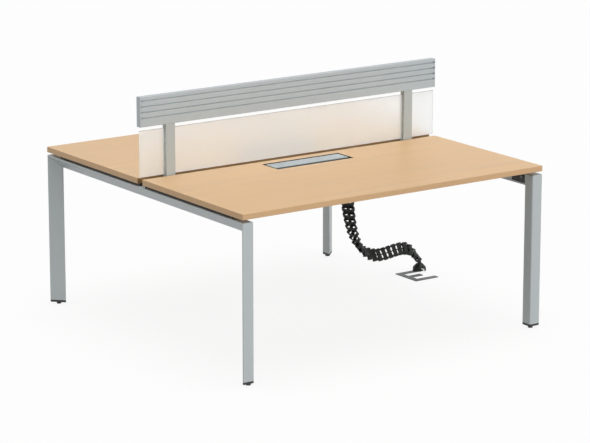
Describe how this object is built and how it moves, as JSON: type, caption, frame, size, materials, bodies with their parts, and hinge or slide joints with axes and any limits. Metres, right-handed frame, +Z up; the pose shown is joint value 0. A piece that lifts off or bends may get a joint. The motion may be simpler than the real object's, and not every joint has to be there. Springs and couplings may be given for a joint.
{
  "type": "two-person bench desk",
  "caption": "Bench desk for two users face to face, with a shared frosted screen, a slotted toolbar, brushed cable hatches and a jointed cable spine to the floor.",
  "frame": {"origin": "on the floor, below the middle of the desk", "axes": "+X to the front user's right along the desk, +Y from the front user to the rear user, +Z up"},
  "size_m": [1.7936, 1.6, 1.104],
  "materials": {
    "worktop": "beech decor, satin",
    "edge": "beech edge band, satin",
    "frame_paint": "fine silver powder coat",
    "post_paint": "fine silver powder coat",
    "bracket_steel": "dark powder coat",
    "dark_plastic": "moulded black",
    "zinc": "zinc plated",
    "frosted_screen": "frosted",
    "toolbar_alloy": "satin anodised",
    "hatch_alloy": "satin anodised",
    "collar_alloy": "anodised black",
    "bristle": "nylon bristles",
    "spine_plastic": "moulded, satin",
    "floor_plate": "dark powder coat"
  },
  "bodies": {
    "desk": {"front_worktop": "worktop", "rear_worktop": "worktop", "front_edge_band": "edge", "rear_edge_band": "edge", "leg_front_left": "frame_paint", "leg_front_right": "frame_paint", "leg_rear_left": "frame_paint", "leg_rear_right": "frame_paint", "rail_left": "frame_paint", "rail_right": "frame_paint", "corner_block_front_left": "dark_plastic", "corner_block_front_right": "dark_plastic", "corner_block_rear_left": "dark_plastic", "corner_block_rear_right": "dark_plastic", "corner_screws": "zinc", "cap_front_left": "dark_plastic", "cap_front_right": "dark_plastic", "cap_rear_left": "dark_plastic", "cap_rear_right": "dark_plastic", "front_beam": "frame_paint", "rear_beam": "frame_paint", "beam_bolts": "zinc", "beam_spacers": "dark_plastic", "worktop_screws": "zinc", "pad_front_left": "dark_plastic", "pad_front_right": "dark_plastic", "pad_rear_left": "dark_plastic", "pad_rear_right": "dark_plastic", "post_left": "post_paint", "post_right": "post_paint", "clamp_bar_left": "post_paint", "clamp_bar_right": "post_paint", "clamp_bolts": "zinc", "post_bracket_left": "bracket_steel", "post_bracket_right": "bracket_steel", "bracket_screws": "zinc", "post_bolts": "zinc", "screen": "frosted_screen", "toolbar": "toolbar_alloy", "toolbar_cap_left": "toolbar_alloy", "toolbar_cap_right": "toolbar_alloy", "toolbar_bolts": "zinc", "front_hatch_collar": "collar_alloy", "rear_hatch_collar": "collar_alloy", "hatch_pins": "zinc", "front_brush": "bristle", "rear_brush": "bristle", "collar_screws": "zinc", "spine_bracket": "spine_plastic", "spine_links": "spine_plastic", "spine_end_link": "spine_plastic", "spine_bell": "spine_plastic", "spine_plate": "floor_plate", "spine_screws": "zinc"},
    "front_lid": {"front_hatch_lid": "hatch_alloy"},
    "rear_lid": {"rear_hatch_lid": "hatch_alloy"},
    "foot_front_left": {"foot_front_left": "dark_plastic"},
    "foot_front_right": {"foot_front_right": "dark_plastic"},
    "foot_rear_left": {"foot_rear_left": "dark_plastic"},
    "foot_rear_right": {"foot_rear_right": "dark_plastic"}
  },
  "joints": [
    {"name": "front_lid_hinge", "type": "hinge", "parent": "desk", "child": "front_lid", "pos_m": [0.004, -0.0857, 0.735], "axis": [-1, 0, 0], "range_deg": [0, 100]},
    {"name": "rear_lid_hinge", "type": "hinge", "parent": "desk", "child": "rear_lid", "pos_m": [-0.004, 0.0857, 0.735], "axis": [1, 0, 0], "range_deg": [0, 100]},
    {"name": "foot_front_left_screw", "type": "slide", "parent": "desk", "child": "foot_front_left", "axis": [0, 0, -1], "range_m": [0, 0.015]},
    {"name": "foot_front_right_screw", "type": "slide", "parent": "desk", "child": "foot_front_right", "axis": [0, 0, -1], "range_m": [0, 0.015]},
    {"name": "foot_rear_left_screw", "type": "slide", "parent": "desk", "child": "foot_rear_left", "axis": [0, 0, -1], "range_m": [0, 0.015]},
    {"name": "foot_rear_right_screw", "type": "slide", "parent": "desk", "child": "foot_rear_right", "axis": [0, 0, -1], "range_m": [0, 0.015]}
  ]
}
